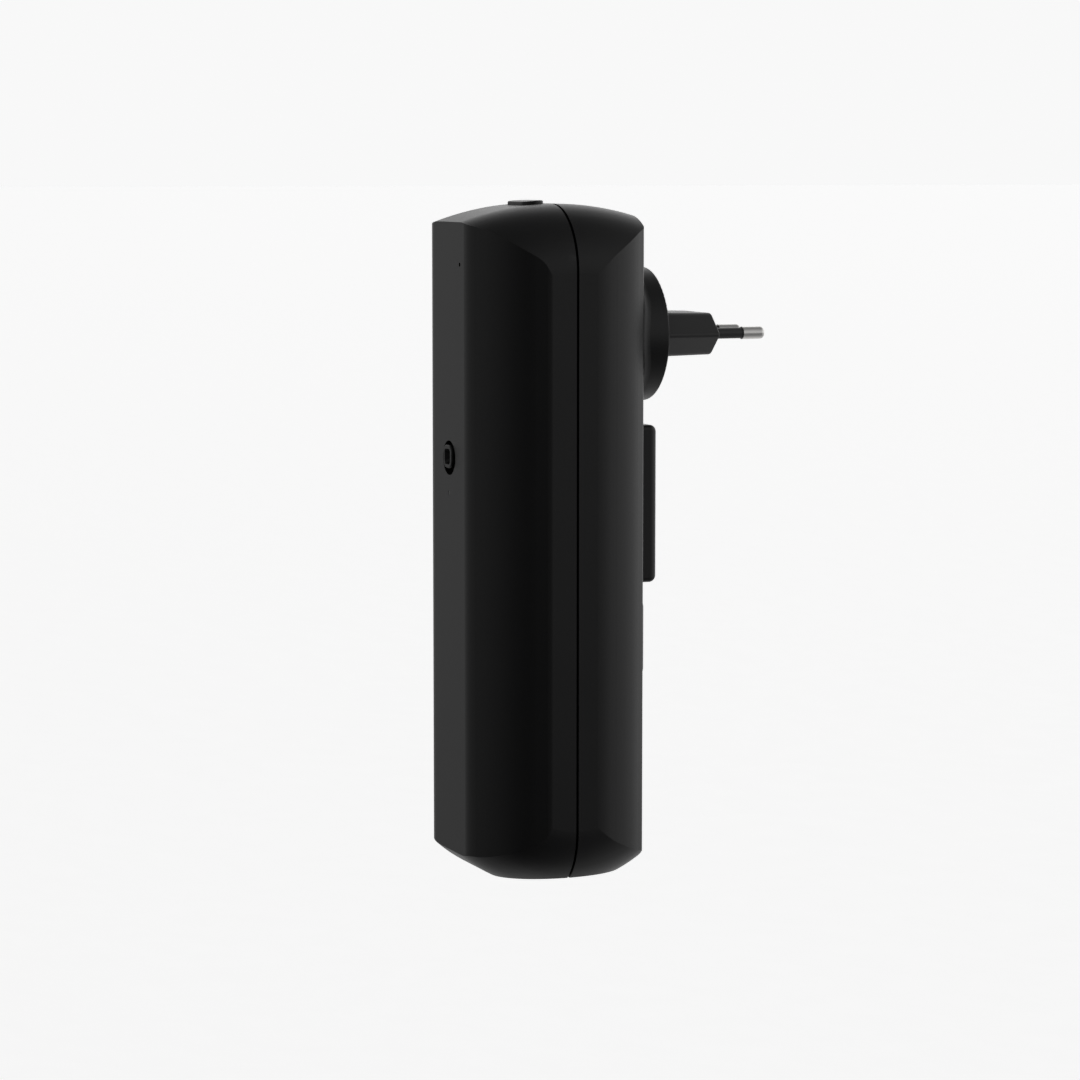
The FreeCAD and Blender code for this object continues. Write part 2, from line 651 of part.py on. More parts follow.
def main_board():
    height = MAIN_BOARD_TOP - MAIN_BOARD_BOTTOM
    middle = (MAIN_BOARD_TOP + MAIN_BOARD_BOTTOM) / 2
    board = panel(MAIN_BOARD_WIDTH, height, BOARD_THICKNESS, 3, 0, MAIN_BOARD_DEPTH, middle)
    return board.cut([rod(SMALL_SCREW_RADIUS + 0.1, BOARD_THICKNESS, x, MAIN_BOARD_DEPTH, up)
                      for x, up in main_hole_places()])


def main_board_screws():
    seat = MAIN_BOARD_DEPTH + BOARD_THICKNESS
    return [screw(SMALL_SHANK_RADIUS, MAIN_SCREW_LENGTH, SMALL_HEAD_RADIUS, SMALL_HEAD_HEIGHT,
                  x, seat, up, -1) for x, up in main_hole_places()]


MAIN_BOARD_BACK = MAIN_BOARD_DEPTH + BOARD_THICKNESS
SHIELD_UP = -38.0


def processor():
    return panel(14, 14, 1.2, 0.3, 0, MAIN_BOARD_BACK, SHIELD_UP)


def memory_chip():
    return panel(8, 11, 1.0, 0.2, 0, MAIN_BOARD_BACK, SHIELD_UP + 16)


def shield_can():
    wall = 0.3
    width = 26
    height = 22
    rise = 2.6
    can = panel(width, height, rise, 1.0, 0, MAIN_BOARD_BACK, SHIELD_UP - 2)
    return can.cut(panel(width - 2 * wall, height - 2 * wall, rise - wall, 0.8,
                         0, MAIN_BOARD_BACK, SHIELD_UP - 2))


def wireless_module():
    base = panel(15, 17, 0.8, 0.3, 0, MAIN_BOARD_BACK, -64)
    return base.fuse(panel(12.5, 11, 1.6, 0.5, 0, MAIN_BOARD_BACK + 0.8, -65.5))


def antenna():
    """Folded metal strip that stands on the board beside the wireless module."""
    foot = panel(1.6, 6, 0.4, 0.1, 14, MAIN_BOARD_BACK, -66)
    riser = panel(0.4, 6, 6, 0.1, 14.6, MAIN_BOARD_BACK, -66)
    blade = panel(6, 16, 0.4, 0.15, 17.4, MAIN_BOARD_BACK + 6, -66)
    return foot.fuse([riser, blade]).removeSplitter()


def board_connectors():
    """Sockets on the back of the main board for the power and the loudspeaker leads."""
    return [panel(9, 6, 5, 0.4, DC_X, MAIN_BOARD_BACK, DC_LOW_UP),
            panel(6, 6, 4.5, 0.4, SPEAKER_LEAD_X, MAIN_BOARD_BACK, SPEAKER_LEAD_TOP)]


# ---- Power board ----

DC_X = -13.0
DC_LOW_UP = 8.0
DC_HIGH_UP = 29.0
SPEAKER_LEAD_X = 12.0
SPEAKER_LEAD_TOP = 2.0
POWER_BOARD_BACK = POWER_BOARD_DEPTH + BOARD_THICKNESS


def power_board():
    height = POWER_BOARD_TOP - POWER_BOARD_BOTTOM
    middle = (POWER_BOARD_TOP + POWER_BOARD_BOTTOM) / 2
    board = panel(POWER_BOARD_WIDTH, height, BOARD_THICKNESS, 2, 0, POWER_BOARD_DEPTH, middle)
    return board.cut([rod(SMALL_SCREW_RADIUS + 0.1, BOARD_THICKNESS, x, POWER_BOARD_DEPTH, up)
                      for x, up in power_hole_places()])


def power_board_screws():
    return [screw(SMALL_SHANK_RADIUS, POWER_SCREW_LENGTH, SMALL_HEAD_RADIUS, SMALL_HEAD_HEIGHT,
                  x, POWER_BOARD_DEPTH, up, 1) for x, up in power_hole_places()]


def standing(width, height, rise, radius, x, up):
    """Component that stands on the front side of the power board."""
    return panel(width, height, rise, radius, x, POWER_BOARD_DEPTH - rise, up)


def transformer_core():
    core = standing(18, 17, 14, 0.5, 2, 45)
    window = standing(3.4, 30, 8.6, 0.2, 0, 45)
    offset = 4.2
    left = window.translated(V(2 - offset, -2.7, 0))
    right = window.translated(V(2 + offset, -2.7, 0))
    return core.cut([left, right])


def transformer_winding():
    outside = standing(11.6, 21, 8.4, 1.0, 2, 45).translated(V(0, -2.8, 0))
    core = transformer_core()
    return outside.cut(core)


def upright_can(radius, rise, x, up):
    """Round capacitor with a crimped groove near its foot."""
    foot = POWER_BOARD_DEPTH
    edge = 0.6
    return spin([(0, foot), (radius - edge / 2, foot), (radius, foot - edge), (radius, foot - 2),
                 (radius - edge, foot - 2.5), (radius, foot - 3), (radius, foot - rise + edge),
                 (radius - edge, foot - rise), (0, foot - rise)], x, up)


def bulk_capacitor():
    return upright_can(5.0, 16, 12.5, 66)


def output_capacitor():
    return upright_can(4.0, 12, 14, 32)


def bridge_rectifier():
    return standing(6.2, 8.0, 2.6, 0.2, -15, 58)


def mains_fuse():
    return standing(8.4, 4.2, 8.0, 1.9, -13, 72)


def power_socket():
    return standing(9, 6, 5, 0.4, DC_X, DC_HIGH_UP)


def dc_lead():
    near = POWER_BOARD_DEPTH - 5
    far = MAIN_BOARD_BACK + 5
    middle = (near + far) / 2
    route = [(near, DC_HIGH_UP), (middle, DC_HIGH_UP), (middle, DC_LOW_UP), (far, DC_LOW_UP)]
    return [tube([place(DC_X + offset, depth, up) for depth, up in route], 0.8, 3.5)
            for offset in (-1.6, 1.6)]


def mains_leads():
    """Stiff insulated leads from the pins' tails to the power board."""
    leads = []
    for side in (-1, 1):
        x = side * pin_offset(PIN_TAIL_START)
        leads.append(rod(1.5, PIN_TAIL_START - POWER_BOARD_BACK, x, POWER_BOARD_BACK, PLUG_UP))
    return leads


# ---- Plug ----

RETAINER_DEPTH = 58.4
RETAINER_THICKNESS = 2.0
RETAINER_RADIUS = 19.0
FLANGE_RADIUS = 19.1
FLANGE_TOP_UP = 10.5
PLUG_FLANGE_THICKNESS = BOSS_INNER_DEPTH - RETAINER_DEPTH - RETAINER_THICKNESS
PIN_TAIL_START = PLUG_FACE_DEPTH - PLUG_LENGTH - PIN_TAIL_LENGTH


def retainer_places():
    return [(x, up) for x in (-8.0, 8.0) for up in (-14.5, 14.5)]


def plug_section(growth, depth):
    """Six-sided outline with pointed ends and rounded shoulders."""
    half_w = PLUG_END_WIDTH / 2 + growth
    half_h = PLUG_END_HEIGHT / 2 + growth
    shoulder = half_w - PLUG_SIDE_CUT
    corners = [(half_w, 0), (shoulder, half_h), (-shoulder, half_h),
               (-half_w, 0), (-shoulder, -half_h), (shoulder, -half_h)]
    ridge = PLUG_RIDGE_RADIUS
    bend = PLUG_CORNER_RADIUS
    return upright(outline(corners, [ridge, bend, bend, ridge, bend, bend]), 0, depth, PLUG_UP)


def plug_block():
    """Tapered plug body from inside the boss to the engagement face."""
    growth_inside = PLUG_DRAFT * (PLUG_FACE_DEPTH - BOSS_INNER_DEPTH) / PLUG_LENGTH
    inside = plug_section(growth_inside, BOSS_INNER_DEPTH)
    return Part.makeLoft([inside, plug_section(0, PLUG_FACE_DEPTH)], True, True)


def plug_body():
    block = plug_block()
    end_edges = [edge for edge in block.Edges if edge.BoundBox.YMin > -0.01]
    block = block.makeFillet(0.6, end_edges)
    flange = rod(FLANGE_RADIUS, PLUG_FLANGE_THICKNESS, 0, RETAINER_DEPTH + RETAINER_THICKNESS, PLUG_UP)
    flange = flange.common(Part.makeBox(60, 60, 2 * FLANGE_TOP_UP, V(-30, -50, -FLANGE_TOP_UP)))
    recesses = [rod(PIN_RADIUS + PIN_RECESS_GAP, PIN_RECESS_DEPTH, side * PIN_PITCH_ROOT / 2,
                    PLUG_FACE_DEPTH - PIN_RECESS_DEPTH, PLUG_UP) for side in (-1, 1)]
    body = block.fuse(flange).cut(recesses)
    return body.cut([pin_solid(-1), pin_solid(1), pin_sleeve(-1), pin_sleeve(1)])


def pin_offset(depth):
    """Distance of a pin's axis from the middle at a depth; the pins lean towards each other."""
    lean = (PIN_PITCH_ROOT - PIN_PITCH_TIP) / 2 / PIN_LENGTH
    return PIN_PITCH_ROOT / 2 - (depth - PLUG_FACE_DEPTH) * lean


def pin_frame(shape, side):
    """Move a shape built along +Y from the engagement face onto a pin's leaning axis."""
    lean = math.degrees(math.atan2((PIN_PITCH_ROOT - PIN_PITCH_TIP) / 2, PIN_LENGTH))
    moved = shape.copy()
    moved.rotate(V(0, 0, 0), Z_AXIS, side * lean)
    moved.translate(V(side * PIN_PITCH_ROOT / 2, 0, 0))
    return moved


def turned_pin(profile):
    wire = Part.makePolygon([V(radius, along, 0) for radius, along in profile + profile[:1]])
    return Part.Face(wire).revolve(V(0, 0, 0), Y_AXIS, 360)


def pin_solid(side):
    """Solid pin: tail, root held in the plug, thin core under the sleeve and rounded bare tip."""
    tail = -PLUG_LENGTH - PIN_TAIL_LENGTH
    root = -PLUG_LENGTH - 1
    bare = PIN_LENGTH - PIN_BARE_LENGTH
    pin = turned_pin([(0, tail), (PIN_TAIL_RADIUS, tail), (PIN_TAIL_RADIUS, root), (PIN_RADIUS, root),
                      (PIN_RADIUS, -SLEEVE_ROOT), (PIN_CORE_RADIUS, -SLEEVE_ROOT), (PIN_CORE_RADIUS, bare),
                      (PIN_RADIUS, bare), (PIN_RADIUS, PIN_LENGTH), (0, PIN_LENGTH)])
    tip_edges = [edge for edge in pin.Edges if edge.BoundBox.YMin > PIN_LENGTH - 0.01]
    return pin_frame(pin.makeFillet(PIN_RADIUS * 0.7, tip_edges), side)


def pin_sleeve(side):
    """Insulating sleeve moulded round the thin part of a pin."""
    end = PIN_LENGTH - PIN_BARE_LENGTH
    sleeve = turned_pin([(PIN_CORE_RADIUS, -SLEEVE_ROOT), (SLEEVE_RADIUS, -SLEEVE_ROOT),
                         (SLEEVE_RADIUS, end), (PIN_CORE_RADIUS, end)])
    return pin_frame(sleeve, side)


def plug_retainer():
    """Plate that clamps the plug body's flange into the boss."""
    plate = rod(RETAINER_RADIUS, RETAINER_THICKNESS, 0, RETAINER_DEPTH, PLUG_UP)
    holes = [rod(PIN_RADIUS + 0.5, 2 * RETAINER_THICKNESS, side * pin_offset(RETAINER_DEPTH),
                 RETAINER_DEPTH - 1, PLUG_UP) for side in (-1, 1)]
    holes += [rod(SMALL_SCREW_RADIUS + 0.1, RETAINER_THICKNESS, x, RETAINER_DEPTH, PLUG_UP + up)
              for x, up in retainer_places()]
    return plate.cut(holes)


def retainer_screws():
    return [screw(SMALL_SHANK_RADIUS, RETAINER_SCREW_LENGTH, SMALL_HEAD_RADIUS, SMALL_HEAD_HEIGHT,
                  x, RETAINER_DEPTH, PLUG_UP + up, 1) for x, up in retainer_places()]


# ---- Loudspeaker ----

SPEAKER_FRONT = REAR_WALL_INNER - 0.8
SPEAKER_BACK = SPEAKER_FRONT - 6.4


def speaker_grille():
    """Raised slotted cover over the loudspeaker, with a collar that fits the hole in the back."""
    cover = panel(GRILLE_WIDTH, GRILLE_HEIGHT, GRILLE_RISE, GRILLE_CORNER, 0, BODY_DEPTH, SPEAKER_UP)
    crest = FRONT_Y + BODY_DEPTH + GRILLE_RISE
    cover = cover.makeFillet(GRILLE_EDGE_RADIUS,
                             [edge for edge in cover.Edges if edge.BoundBox.YMin > crest - 0.01])
    collar = rod(SPEAKER_HOLE_RADIUS, WALL + 0.5, 0, REAR_WALL_INNER, SPEAKER_UP)
    hollow_length = WALL + GRILLE_RISE - GRILLE_WALL + 0.2
    hollow = rod(SPEAKER_HOLE_RADIUS - GRILLE_WALL, hollow_length, 0, REAR_WALL_INNER - 0.2, SPEAKER_UP)
    cover = cover.fuse(collar).cut(hollow)
    slots = []
    for row in range(-3, 4):
        up = row * GRILLE_SLOT_PITCH
        length = 2 * math.sqrt((SPEAKER_HOLE_RADIUS - 2.6) ** 2 - up ** 2)
        slots.append(panel(length, 2 * GRILLE_SLOT_HALF_WIDTH, 20, GRILLE_SLOT_HALF_WIDTH - 0.01,
                           0, BODY_DEPTH - WALL, SPEAKER_UP + up))
    return cover.cut(slots)


def speaker_gasket():
    return rod(SPEAKER_RADIUS, 0.8, 0, SPEAKER_FRONT, SPEAKER_UP).cut(
        rod(SPEAKER_HOLE_RADIUS, 0.8, 0, SPEAKER_FRONT, SPEAKER_UP))


def speaker_frame():
    """Pressed basket with two screw ears."""
    basket = spin([(SPEAKER_HOLE_RADIUS, SPEAKER_FRONT), (SPEAKER_RADIUS, SPEAKER_FRONT),
                   (SPEAKER_RADIUS, SPEAKER_FRONT - 1.4), (8.4, SPEAKER_BACK), (6.2, SPEAKER_BACK),
                   (6.2, SPEAKER_BACK + 1.0), (7.8, SPEAKER_BACK + 1.0),
                   (SPEAKER_HOLE_RADIUS, SPEAKER_FRONT - 1.6)], 0, SPEAKER_UP)
    ears = panel(2 * SPEAKER_EAR_X + 5, 5, SPEAKER_EAR_THICKNESS, 2.4, 0, SPEAKER_EAR_DEPTH, SPEAKER_UP)
    ears = ears.cut(rod(9.5, SPEAKER_EAR_THICKNESS, 0, SPEAKER_EAR_DEPTH, SPEAKER_UP))
    bore = SMALL_SCREW_RADIUS + 0.1
    ears = ears.cut([rod(bore, SPEAKER_EAR_THICKNESS, x, SPEAKER_EAR_DEPTH, SPEAKER_UP)
                     for x in (-SPEAKER_EAR_X, SPEAKER_EAR_X)])
    return basket.fuse(ears)


def speaker_cone():
    """Shallow cone with a rolled surround."""
    start = SPEAKER_FRONT
    return spin([(0, start - 3.2), (3.0, start - 3.9), (8.2, start - 1.6), (9.6, start - 0.7),
                 (SPEAKER_HOLE_RADIUS, start - 1.2), (SPEAKER_HOLE_RADIUS, start - 1.5),
                 (9.6, start - 1.1), (8.2, start - 2.0), (3.0, start - 4.4),
                 (0, start - 3.6)], 0, SPEAKER_UP)


def speaker_magnet():
    end = SPEAKER_BACK - 3.2
    return spin([(0, SPEAKER_BACK + 0.6), (6.2, SPEAKER_BACK + 0.6), (6.2, SPEAKER_BACK),
                 (7.4, SPEAKER_BACK), (7.4, end + 0.6), (6.8, end), (0, end)], 0, SPEAKER_UP)


def speaker_screws():
    return [screw(SMALL_SHANK_RADIUS, SPEAKER_SCREW_LENGTH, SMALL_HEAD_RADIUS, SMALL_HEAD_HEIGHT,
                  x, SPEAKER_EAR_DEPTH, SPEAKER_UP, 1) for x in (-SPEAKER_EAR_X, SPEAKER_EAR_X)]


def speaker_lead():
    start = SPEAKER_FRONT - 3.1
    turn = 30.0
    low = SPEAKER_UP + 5.0
    route = [(start, low), (turn, low), (turn, SPEAKER_LEAD_TOP), (MAIN_BOARD_BACK + 4.5, SPEAKER_LEAD_TOP)]
    return tube([place(SPEAKER_LEAD_X, depth, up) for depth, up in route], 0.8, 4.0)


# ---- Wall spacer ----

def wall_spacer():
    """Block that holds the lower half off the wall, level with the face of the boss."""
    block = panel(2 * SPACER_HALF_WIDTH, SPACER_HEIGHT, BOSS_RISE, 1.5, 0, BODY_DEPTH, SPACER_UP)
    rear = [edge for edge in block.Edges if edge.BoundBox.YMin > FRONT_Y + BOSS_FACE_DEPTH - 0.01]
    block = block.makeFillet(SPACER_EDGE_RADIUS, rear)
    pegs = [rod(PEG_RADIUS, WALL + 1.6, 0, REAR_WALL_INNER - 1.6, SPACER_UP + offset)
            for offset in (-PEG_OFFSET, PEG_OFFSET)]
    return block.fuse(pegs)


def spacer_washers():
    """Push-on washers that hold the spacer's pegs from the inside."""
    return [rod(4.0, 0.8, 0, REAR_WALL_INNER - 0.8, SPACER_UP + offset).cut(
        rod(PEG_RADIUS, 0.8, 0, REAR_WALL_INNER - 0.8, SPACER_UP + offset))
            for offset in (-PEG_OFFSET, PEG_OFFSET)]


NODES = {
    "front_shell": front_shell,
    "rear_shell": rear_shell,
    "seam_gasket": seam_gasket,
    "housing_screws": housing_screws,
    "camera_bezel": camera_bezel,
    "camera_barrel": camera_barrel,
    "front_lens": front_lens,
    "rear_lens": rear_lens,
    "lens_spacer": lens_spacer,
    "camera_holder": camera_holder,
    "image_sensor": image_sensor,
    "camera_board": camera_board,
    "camera_connector": camera_connector,
    "light_pipe": light_pipe,
    "status_light": status_light,
    "microphone_boot": microphone_boot,
    "microphone": microphone,
    "microphone_lead": microphone_lead,
    "top_button": top_button,
    "button_spring": button_spring,
    "switch_board": switch_board,
    "switch_board_screws": switch_board_screws,
    "touch_switch": touch_switch,
    "switch_plunger": switch_plunger,
    "main_board": main_board,
    "main_board_screws": main_board_screws,
    "processor": processor,
    "memory_chip": memory_chip,
    "shield_can": shield_can,
    "wireless_module": wireless_module,
    "antenna": antenna,
    "board_connectors": board_connectors,
    "power_board": power_board,
    "power_board_screws": power_board_screws,
    "transformer_core": transformer_core,
    "transformer_winding": transformer_winding,
    "bulk_capacitor": bulk_capacitor,
    "output_capacitor": output_capacitor,
    "bridge_rectifier": bridge_rectifier,
    "mains_fuse": mains_fuse,
    "power_socket": power_socket,
    "dc_lead": dc_lead,
    "mains_leads": mains_leads,
    "plug_body": plug_body,
    "plug_retainer": plug_retainer,
    "retainer_screws": retainer_screws,
    "pin_left": lambda: pin_solid(-1),
    "pin_right": lambda: pin_solid(1),
    "sleeve_left": lambda: pin_sleeve(-1),
    "sleeve_right": lambda: pin_sleeve(1),
    "speaker_grille": speaker_grille,
    "speaker_gasket": speaker_gasket,
    "speaker_frame": speaker_frame,
    "speaker_cone": speaker_cone,
    "speaker_magnet": speaker_magnet,
    "speaker_screws": speaker_screws,
    "speaker_lead": speaker_lead,
    "wall_spacer": wall_spacer,
    "spacer_washers": spacer_washers,
}


os.makedirs("parts", exist_ok=True)
for name, build in NODES.items():
    made = build()
    shape = Part.makeCompound(made) if isinstance(made, list) else made
    shape.exportStep("parts/" + name + ".step")
    state = "valid" if shape.isValid() else "BAD"
    print(name, len(shape.Solids), "solids", round(shape.Volume, 1), "mm3", state)
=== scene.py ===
import json
import math

import bpy
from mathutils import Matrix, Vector


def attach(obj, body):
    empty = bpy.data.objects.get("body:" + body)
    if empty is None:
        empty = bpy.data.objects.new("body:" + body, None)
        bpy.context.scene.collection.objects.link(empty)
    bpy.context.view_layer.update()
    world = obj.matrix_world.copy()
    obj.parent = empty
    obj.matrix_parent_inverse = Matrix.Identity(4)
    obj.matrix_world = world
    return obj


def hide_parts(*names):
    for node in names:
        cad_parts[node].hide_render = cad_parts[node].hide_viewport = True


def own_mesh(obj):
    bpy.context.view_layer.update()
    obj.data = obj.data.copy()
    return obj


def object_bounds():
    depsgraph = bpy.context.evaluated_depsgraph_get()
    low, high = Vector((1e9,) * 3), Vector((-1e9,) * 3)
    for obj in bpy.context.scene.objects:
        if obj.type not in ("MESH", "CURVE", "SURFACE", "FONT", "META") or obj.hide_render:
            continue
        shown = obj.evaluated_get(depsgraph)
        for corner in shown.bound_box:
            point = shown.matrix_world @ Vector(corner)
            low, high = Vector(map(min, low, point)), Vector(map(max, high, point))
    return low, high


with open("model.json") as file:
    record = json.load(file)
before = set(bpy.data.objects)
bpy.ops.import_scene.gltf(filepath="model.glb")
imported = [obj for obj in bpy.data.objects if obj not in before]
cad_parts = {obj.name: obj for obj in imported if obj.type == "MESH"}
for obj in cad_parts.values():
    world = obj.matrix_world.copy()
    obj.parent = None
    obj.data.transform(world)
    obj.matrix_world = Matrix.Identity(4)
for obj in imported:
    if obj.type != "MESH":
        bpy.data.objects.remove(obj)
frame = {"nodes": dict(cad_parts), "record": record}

# A plug-in video doorbell unit in satin black plastic. Metres throughout; +Z is up, the camera
# lens looks towards -Y and the mains plug points towards +Y.

CAD_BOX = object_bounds()

# Camera
CAMERA_PLACE = Vector((1.0080, -0.4625, 0.0525))
CAMERA_YAW = math.radians(157.96)
CAMERA_PITCH = math.radians(-6.15)
CAMERA_LENS_MM = 115.3
CAMERA_SENSOR_MM = 36.0

# Studio
FLOOR_DROP = 0.30            # the floor lies this far below the unit, which hangs by its plug
FLOOR_HALF_SIZE = 90.0
BACKGROUND = 0.94
FLOOR_GLOW = 0.68
# Brightness of the soft surroundings round the unit: compass angle from +X in degrees, level
SURROUNDINGS = [(-180, 0.50), (-155, 0.25), (-112, 0.26), (-88, 0.30), (-62, 0.24), (-36, 0.13),
                (-14, 0.05), (6, 0.13), (28, 0.42), (62, 0.66), (98, 0.70), (125, 0.95), (155, 1.2),
                (180, 0.50)]
# The same for directions well below level
LOW_SURROUNDINGS = [(-180, 0.34), (-155, 0.18), (-112, 0.16), (-88, 0.08), (-62, 0.06), (-36, 0.02),
                    (-14, 0.01), (6, 0.02), (28, 0.07), (62, 0.30), (98, 0.34), (125, 0.45), (155, 0.6),
                    (180, 0.34)]
LOW_BELOW = -0.25            # height of a direction, -1 straight down to 1 straight up
LEVEL_ABOVE = -0.02
OVERHEAD = 0.11
OVERHEAD_START = 0.25
OVERHEAD_FULL = 0.95
LEVEL_STRENGTH = 1.15

# Finishes
NOISE_LOW = 0.3              # the useful middle range of a noise texture
NOISE_HIGH = 0.7
PATCH_SCALE = 60.0           # patches of colour per metre
BOARD_CELLS = 260.0          # copper areas per metre on the circuit boards
BOARD_RELIEF = 0.00003
GLASS_HAZE = 900.0


def graph(material):
    """Nodes, links and shader of a material that has just been made."""
    material.use_nodes = True
    nodes = material.node_tree.nodes
    return nodes, material.node_tree.links, nodes["Principled BSDF"]


def noise(nodes, links, scale, detail=3.0, roughness=0.5, stretch=(1.0, 1.0, 1.0)):
    """Noise texture in the object's own metres; scale is cells per metre."""
    coordinates = nodes.new("ShaderNodeTexCoord")
    mapping = nodes.new("ShaderNodeMapping")
    mapping.inputs["Scale"].default_value = stretch
    texture = nodes.new("ShaderNodeTexNoise")
    texture.inputs["Scale"].default_value = scale
    texture.inputs["Detail"].default_value = detail
    texture.inputs["Roughness"].default_value = roughness
    links.new(coordinates.outputs["Object"], mapping.inputs["Vector"])
    links.new(mapping.outputs["Vector"], texture.inputs["Vector"])
    return texture.outputs["Fac"]


def spread(nodes, links, source, low, high):
    """Map a texture's useful middle range onto low..high."""
    scale = nodes.new("ShaderNodeMapRange")
    scale.inputs["From Min"].default_value = NOISE_LOW
    scale.inputs["From Max"].default_value = NOISE_HIGH
    scale.inputs["To Min"].default_value = low
    scale.inputs["To Max"].default_value = high
    links.new(source, scale.inputs["Value"])
    return scale.outputs["Result"]


def two_tone(nodes, links, source, dark, light):
    """Colour that runs from dark to light over a texture's useful middle range."""
    ramp = nodes.new("ShaderNodeValToRGB")
    ramp.color_ramp.elements[0].position = NOISE_LOW
    ramp.color_ramp.elements[0].color = (*dark, 1.0)
    ramp.color_ramp.elements[1].position = NOISE_HIGH
    ramp.color_ramp.elements[1].color = (*light, 1.0)
    links.new(source, ramp.inputs["Fac"])
    return ramp.outputs["Color"]


def raise_bump(nodes, links, shader, height, distance):
    """Relief of the given depth in metres."""
    bump = nodes.new("ShaderNodeBump")
    bump.inputs["Distance"].default_value = distance
    bump.inputs["Strength"].default_value = 1.0
    links.new(height, bump.inputs["Height"])
    links.new(bump.outputs["Normal"], shader.inputs["Normal"])


def textured(name, dark, light, rough, grain_scale, grain_depth, metallic=0.0,
             stretch=(1.0, 1.0, 1.0), specular=0.5):
    """Material with patchy colour and roughness and a fine surface grain."""
    material = bpy.data.materials.new(name)
    nodes, links, shader = graph(material)
    patches = noise(nodes, links, PATCH_SCALE, detail=4.0)
    links.new(two_tone(nodes, links, patches, dark, light), shader.inputs["Base Color"])
    fine = noise(nodes, links, grain_scale, detail=2.0, stretch=stretch)
    links.new(spread(nodes, links, fine, rough[0], rough[1]), shader.inputs["Roughness"])
    raise_bump(nodes, links, shader, fine, grain_depth)
    shader.inputs["Metallic"].default_value = metallic
    shader.inputs["Specular IOR Level"].default_value = specular
    return material


def lens_glass(name):
    """Clear glass with a faint coloured coating."""
    material = bpy.data.materials.new(name)
    nodes, links, shader = graph(material)
    haze = noise(nodes, links, GLASS_HAZE)
    tint = two_tone(nodes, links, haze, (0.05, 0.06, 0.10), (0.10, 0.08, 0.14))
    links.new(tint, shader.inputs["Base Color"])
    links.new(spread(nodes, links, haze, 0.02, 0.05), shader.inputs["Roughness"])
    shader.inputs["Transmission Weight"].default_value = 0.85
    shader.inputs["IOR"].default_value = 1.6
    shader.inputs["Coat Weight"].default_value = 0.6
    return material


def circuit_board(name):
    """Solder mask with square copper areas showing through."""
    material = bpy.data.materials.new(name)
    nodes, links, shader = graph(material)
    coordinates = nodes.new("ShaderNodeTexCoord")
    cells = nodes.new("ShaderNodeTexVoronoi")
    cells.distance = "MANHATTAN"
    cells.inputs["Scale"].default_value = BOARD_CELLS
    links.new(coordinates.outputs["Object"], cells.inputs["Vector"])
    mask = two_tone(nodes, links, cells.outputs["Distance"],
                    (0.004, 0.05, 0.018), (0.012, 0.11, 0.045))
    links.new(mask, shader.inputs["Base Color"])
    raise_bump(nodes, links, shader, cells.outputs["Distance"], BOARD_RELIEF)
    shader.inputs["Roughness"].default_value = 0.32
    return material


def finish(dark, light, rough, grain_scale, grain_depth, **extras):
    """Settings of one textured material: two colours, a roughness range and a grain in metres."""
    return {"dark": dark, "light": light, "rough": rough,
            "grain_scale": grain_scale, "grain_depth": grain_depth, **extras}


FINISHES = {
    "housing": finish((0.0070, 0.0070, 0.0076), (0.0088, 0.0088, 0.0094), (0.34, 0.42), 2600.0, 0.000008),
    "button": finish((0.0080, 0.0080, 0.0086), (0.0098, 0.0098, 0.0104), (0.32, 0.40), 2600.0, 0.000008),
    "bezel": finish((0.002, 0.002, 0.002), (0.004, 0.004, 0.004), (0.5, 0.65), 1800.0, 0.00001),
    "rubber": finish((0.006, 0.006, 0.006), (0.012, 0.012, 0.012), (0.7, 0.85), 1500.0, 0.00003,
                     specular=0.3),
    "chip": finish((0.010, 0.010, 0.011), (0.018, 0.018, 0.019), (0.5, 0.62), 2000.0, 0.00002),
    "can": finish((0.55, 0.56, 0.57), (0.68, 0.69, 0.70), (0.25, 0.36), 900.0, 0.00001,
                  metallic=1.0, stretch=(1.0, 1.0, 12.0)),
    "pin_plate": finish((0.92, 0.91, 0.89), (0.97, 0.96, 0.94), (0.30, 0.40), 1400.0, 0.000004,
                        metallic=1.0, stretch=(6.0, 1.0, 6.0)),
    "plug": finish((0.050, 0.050, 0.0505), (0.058, 0.058, 0.0585), (0.38, 0.47), 2400.0, 0.000008),
    "sleeve": finish((0.058, 0.058, 0.059), (0.070, 0.070, 0.071), (0.40, 0.50), 2200.0, 0.00001),
    "ferrite": finish((0.020, 0.020, 0.022), (0.045, 0.045, 0.048), (0.55, 0.7), 1200.0, 0.00004),
    "tape": finish((0.50, 0.30, 0.03), (0.66, 0.44, 0.08), (0.3, 0.45), 400.0, 0.00003,
                   stretch=(1.0, 8.0, 1.0)),
    "sleeving": finish((0.008, 0.014, 0.05), (0.014, 0.025, 0.08), (0.2, 0.3), 300.0, 0.00002),
    "white_plastic": finish((0.58, 0.57, 0.52), (0.70, 0.69, 0.65), (0.35, 0.5), 1200.0, 0.00002),
    "lead": finish((0.30, 0.012, 0.010), (0.42, 0.025, 0.018), (0.4, 0.55), 600.0, 0.00002),
    "steel": finish((0.42, 0.42, 0.44), (0.56, 0.56, 0.58), (0.28, 0.42), 1100.0, 0.00001,
                    metallic=1.0, stretch=(1.0, 1.0, 5.0)),
    "spring_steel": finish((0.36, 0.36, 0.38), (0.48, 0.48, 0.50), (0.25, 0.35), 1500.0, 0.00001,
                           metallic=1.0),
    "cone": finish((0.012, 0.012, 0.012), (0.030, 0.030, 0.030), (0.8, 0.95), 900.0, 0.00006),
    "light_guide": finish((0.030, 0.030, 0.032), (0.040, 0.040, 0.042), (0.2, 0.3), 1500.0, 0.00001),
}


